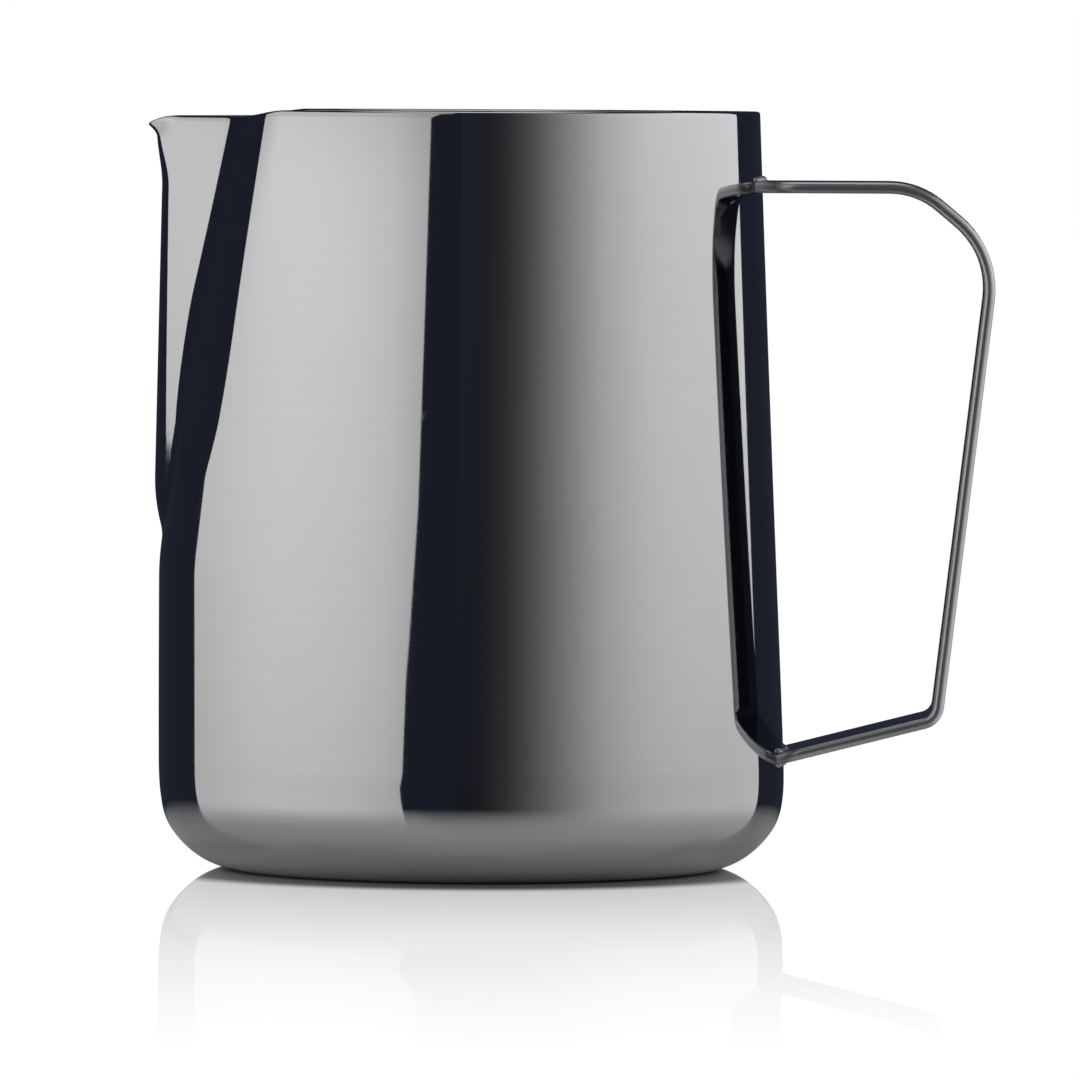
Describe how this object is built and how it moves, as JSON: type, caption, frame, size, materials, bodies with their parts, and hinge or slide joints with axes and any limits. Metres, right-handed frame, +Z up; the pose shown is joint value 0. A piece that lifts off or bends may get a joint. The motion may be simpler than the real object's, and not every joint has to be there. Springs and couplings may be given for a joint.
{
  "type": "milk frothing pitcher",
  "caption": "Round steel pitcher for steaming milk, slightly narrower at the rim, with a pressed pouring spout and a welded flat strap handle.",
  "frame": {"origin": "centre of the flat base, on the cup's axis", "axes": "+Z up along the cup's axis, +X towards the handle, -X towards the spout, +Y to the left of the handle seen from the cup"},
  "size_m": [0.1225, 0.09, 0.1093],
  "materials": {
    "cup_metal": "mirror-polished gunmetal",
    "strap_metal": "satin gunmetal",
    "weld_metal": "bright rippled weld"
  },
  "bodies": {
    "root": {"pitcher_body": "cup_metal", "handle_strap": "strap_metal", "upper_weld": "weld_metal", "lower_weld_top": "weld_metal", "lower_weld_under": "weld_metal"}
  },
  "joints": []
}
